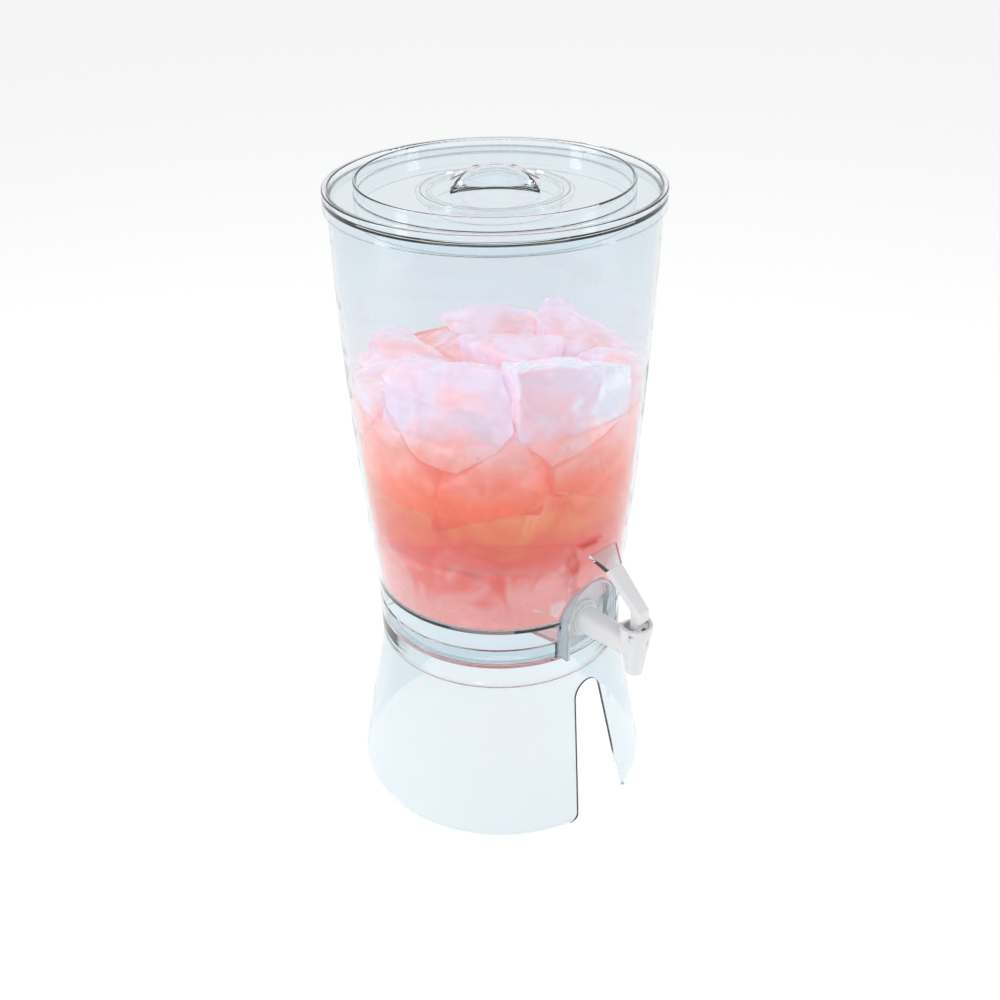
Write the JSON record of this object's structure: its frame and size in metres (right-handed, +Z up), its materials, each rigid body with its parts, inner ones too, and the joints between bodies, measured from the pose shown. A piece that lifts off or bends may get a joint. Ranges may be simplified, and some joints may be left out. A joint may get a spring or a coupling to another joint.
{
  "type": "beverage dispenser",
  "caption": "Clear cylindrical drinks tank with lifting lid and refill cap, on a clear flared stand with an arched doorway, with a white lever tap at the front.",
  "frame": {"origin": "centre of the stand's foot circle, on the table", "axes": "+Z up along the tank's axis, -Y towards the tap, +X to the right as seen from the tap"},
  "size_m": [0.252, 0.2913, 0.5353],
  "materials": {
    "clear_stand_plastic": "clear moulded plastic, polished",
    "clear_tank_plastic": "clear moulded plastic, polished",
    "clear_lid_plastic": "clear moulded plastic, polished",
    "clear_paddle_plastic": "clear moulded plastic, polished",
    "white_tap_plastic": "white moulded plastic, satin",
    "grey_silicone": "pale silicone rubber",
    "steel": "stainless steel wire"
  },
  "bodies": {
    "stand": {"stand": "clear_stand_plastic"},
    "tank": {"tank": "clear_tank_plastic", "tap_body": "white_tap_plastic", "outer_washer": "grey_silicone", "inner_washer": "grey_silicone", "shank_nut": "white_tap_plastic", "bonnet": "white_tap_plastic", "stem_seal": "grey_silicone", "lever_pin": "steel"},
    "lid": {"lid": "clear_lid_plastic"},
    "refill_cap": {"refill_cap": "clear_lid_plastic"},
    "lever": {"lever_arm": "white_tap_plastic", "lever_paddle": "clear_paddle_plastic", "link_pin": "steel"},
    "stem": {"stem": "white_tap_plastic", "seat_plug": "grey_silicone", "stem_spring": "steel"}
  },
  "joints": [
    {"name": "tank_lift", "type": "slide", "parent": "stand", "child": "tank", "axis": [0, 0, 1], "range_m": [0, 0.06]},
    {"name": "lid_lift", "type": "slide", "parent": "tank", "child": "lid", "axis": [0, 0, 1], "range_m": [0, 0.15]},
    {"name": "cap_lift", "type": "slide", "parent": "lid", "child": "refill_cap", "axis": [0, 0, 1], "range_m": [0, 0.06]},
    {"name": "lever_pivot", "type": "hinge", "parent": "tank", "child": "lever", "pos_m": [0, -0.15739, 0.2035], "axis": [1, 0, 0], "range_deg": [0, 40], "stiffness_Nm_per_rad": 0.0125, "springref_deg": -22.49},
    {"name": "stem_slide", "type": "slide", "parent": "tank", "child": "stem", "axis": [0, 0, 1], "range_m": [0, 0.0036], "stiffness_N_per_m": 15, "springref_m": -0.002, "deforming": ["stem_spring"]}
  ],
  "couplings": [
    {"joint": "stem_slide", "follows": "lever_pivot", "m_per_rad": 0.005095}
  ]
}
